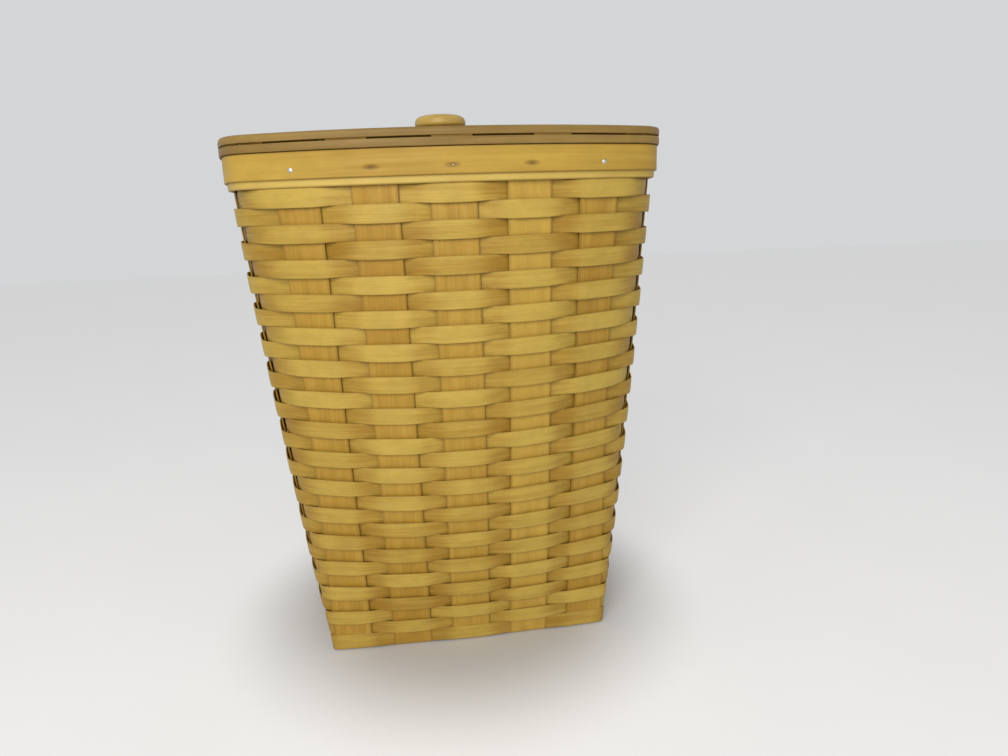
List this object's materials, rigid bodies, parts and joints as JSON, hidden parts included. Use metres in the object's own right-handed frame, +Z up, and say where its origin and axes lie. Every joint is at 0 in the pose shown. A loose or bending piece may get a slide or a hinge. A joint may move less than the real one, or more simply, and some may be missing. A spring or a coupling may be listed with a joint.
{
  "type": "lidded basket",
  "caption": "Tall tapered basket of woven flat wood splints with a nailed rim and a lift-off woven lid with a turned knob, for storing things.",
  "frame": {"origin": "on the floor, under the middle of the base", "axes": "+Z up, -Y to the pictured front, +X to the right seen from the front"},
  "size_m": [0.3542, 0.2772, 0.4515],
  "materials": {
    "weaver_wood": "satin honey-yellow splint, grain along the strip",
    "stake_wood": "satin honey-brown splint, grain along the strip",
    "rim_wood": "satin honey-yellow bent band",
    "lid_wood": "satin grey-brown bent hoop",
    "lid_splint_wood": "satin brown splint",
    "knob_wood": "satin turned wood",
    "steel": "plain steel"
  },
  "bodies": {
    "basket": {"weaver_01": "weaver_wood", "weaver_02": "weaver_wood", "weaver_03": "weaver_wood", "weaver_04": "weaver_wood", "weaver_05": "weaver_wood", "weaver_06": "weaver_wood", "weaver_07": "weaver_wood", "weaver_08": "weaver_wood", "weaver_09": "weaver_wood", "weaver_10": "weaver_wood", "weaver_11": "weaver_wood", "weaver_12": "weaver_wood", "weaver_13": "weaver_wood", "weaver_14": "weaver_wood", "weaver_15": "weaver_wood", "weaver_16": "weaver_wood", "weaver_17": "weaver_wood", "weaver_18": "weaver_wood", "weaver_19": "weaver_wood", "weaver_20": "weaver_wood", "weaver_21": "weaver_wood", "weaver_22": "weaver_wood", "weaver_23": "weaver_wood", "weaver_24": "weaver_wood", "weaver_25": "weaver_wood", "weaver_26": "weaver_wood", "weaver_27": "weaver_wood", "weaver_28": "weaver_wood", "weaver_29": "weaver_wood", "weaver_30": "weaver_wood", "weaver_31": "weaver_wood", "front_back_stake_1": "stake_wood", "front_back_stake_2": "stake_wood", "front_back_stake_3": "stake_wood", "front_back_stake_4": "stake_wood", "front_back_stake_5": "stake_wood", "side_stake_1": "stake_wood", "side_stake_2": "stake_wood", "side_stake_3": "stake_wood", "rim_trim_band": "rim_wood", "rim_outer_band": "rim_wood", "rim_inner_band": "rim_wood"},
    "lid": {"lid_lower_hoop": "lid_wood", "lid_upper_hoop": "lid_wood", "lid_cross_splint_1": "lid_splint_wood", "lid_cross_splint_2": "lid_splint_wood", "lid_cross_splint_3": "lid_splint_wood", "lid_cross_splint_4": "lid_splint_wood", "lid_cross_splint_5": "lid_splint_wood", "lid_long_splint_1": "lid_splint_wood", "lid_long_splint_2": "lid_splint_wood", "lid_long_splint_3": "lid_splint_wood", "lid_long_splint_4": "lid_splint_wood", "lid_long_splint_5": "lid_splint_wood", "lid_long_splint_6": "lid_splint_wood", "lid_long_splint_7": "lid_splint_wood", "knob": "knob_wood", "knob_screw": "steel"}
  },
  "joints": [
    {"name": "lid_lift", "type": "slide", "parent": "basket", "child": "lid", "axis": [0, 0, 1], "range_m": [0, 0.25]}
  ]
}
